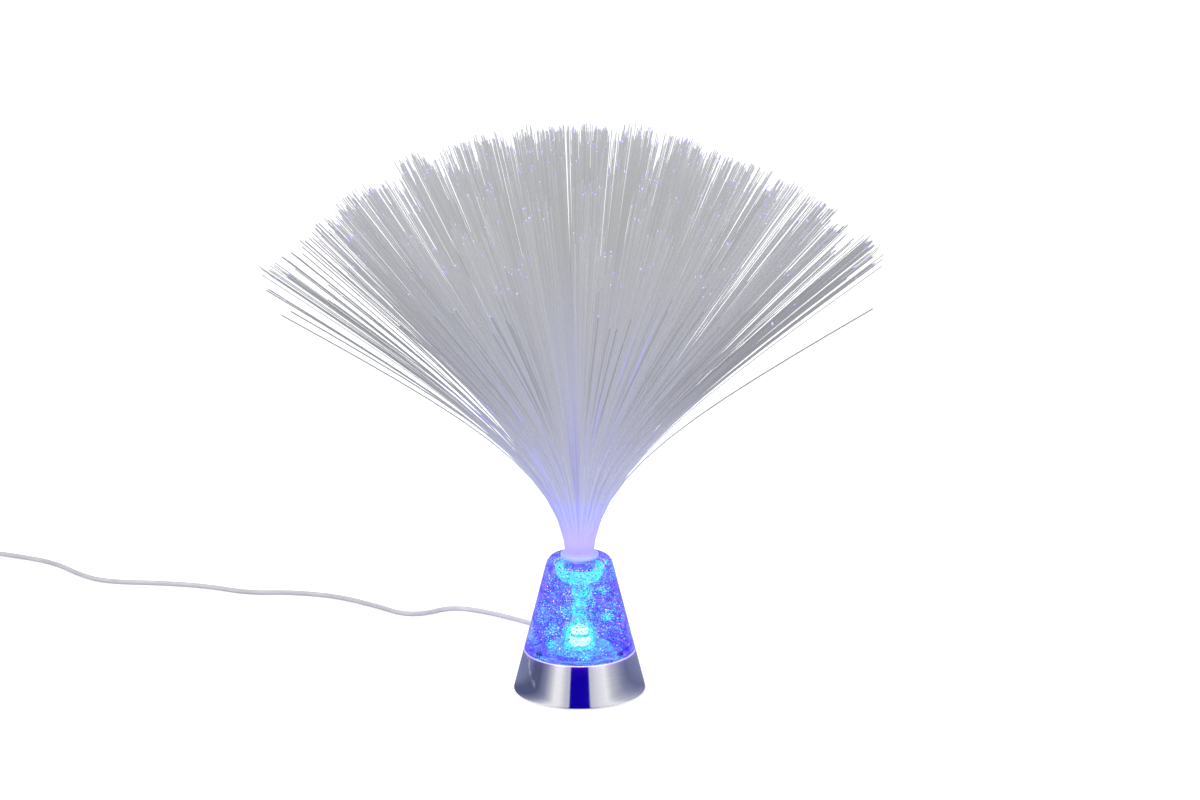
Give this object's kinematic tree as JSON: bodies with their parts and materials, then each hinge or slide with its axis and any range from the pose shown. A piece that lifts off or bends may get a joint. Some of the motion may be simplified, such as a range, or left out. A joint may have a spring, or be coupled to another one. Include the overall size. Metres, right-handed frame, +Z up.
{
  "type": "fiber optic lamp",
  "caption": "Fiber optic table lamp: a lit, bubbled acrylic cone in a chrome ring, topped by a lift-out dome of light fibres, with corded in-line switch.",
  "frame": {"origin": "middle of the resting pad's underside, on the table", "axes": "+Z up along the lamp's axis; the cord leaves the back of the foot towards +Y; +X is to the right of someone in front"},
  "size_m": [0.5806, 0.4236, 0.3266],
  "materials": {
    "foam": "matt closed-cell foam",
    "black_plastic": "matt moulded",
    "chrome": "bright plate",
    "clear_acrylic": "polished clear acrylic with bubbles, lit violet-blue",
    "steel": "zinc plated",
    "board": "white",
    "light": "clear epoxy, emissive",
    "ceramic_parts": "matt",
    "black_rubber": "matt",
    "red_sleeve": "smooth",
    "cord_sleeve": "satin, light grey",
    "switch_plastic": "fine satin, light grey",
    "brass": "bright",
    "milky_plastic": "milky, glowing from below",
    "fibre": "clear fibre that reads pale grey, bright at the cut ends"
  },
  "bodies": {
    "lamp": {"resting_pad": "foam", "bottom_cover": "black_plastic", "chrome_ring": "chrome", "crystal_cone": "clear_acrylic", "cover_screws": "steel", "cone_screws": "steel", "board_screws": "steel", "light_board": "board", "colour_light": "light", "control_chip": "black_plastic", "board_resistors": "ceramic_parts", "board_capacitor": "black_plastic", "cord_gland": "black_rubber", "cord_clamp": "black_plastic", "clamp_screws": "steel", "lead_wire_red": "red_sleeve", "lead_wire_black": "black_rubber", "lamp_cord": "cord_sleeve", "switch_lower_housing": "switch_plastic", "switch_upper_housing": "switch_plastic", "switch_screws": "steel", "rocker_pin": "steel", "switch_contacts": "brass", "switch_cord": "cord_sleeve", "cord_coil": "cord_sleeve", "plug_cord": "cord_sleeve", "plug_strain_relief": "cord_sleeve", "plug_grip": "switch_plastic", "plug_shell": "steel", "plug_tongue": "board", "plug_contacts": "brass"},
    "fibre_head": {"fibre_collar": "milky_plastic", "bonded_bundle": "fibre", "centre_fibres": "fibre", "inner_fibres": "fibre", "middle_fibres": "fibre", "outer_fibres": "fibre", "stray_fibres": "fibre"},
    "rocker": {"switch_rocker": "switch_plastic", "rocker_bridge": "brass"}
  },
  "joints": [
    {"name": "fibre_head_lift", "type": "slide", "parent": "lamp", "child": "fibre_head", "axis": [0, 0, 1], "range_m": [0, 0.03]},
    {"name": "switch_rocker_tilt", "type": "hinge", "parent": "lamp", "child": "rocker", "pos_m": [-0.412, 0.183, 0.0096], "axis": [1, 0, 0], "range_deg": [0, 16]}
  ]
}
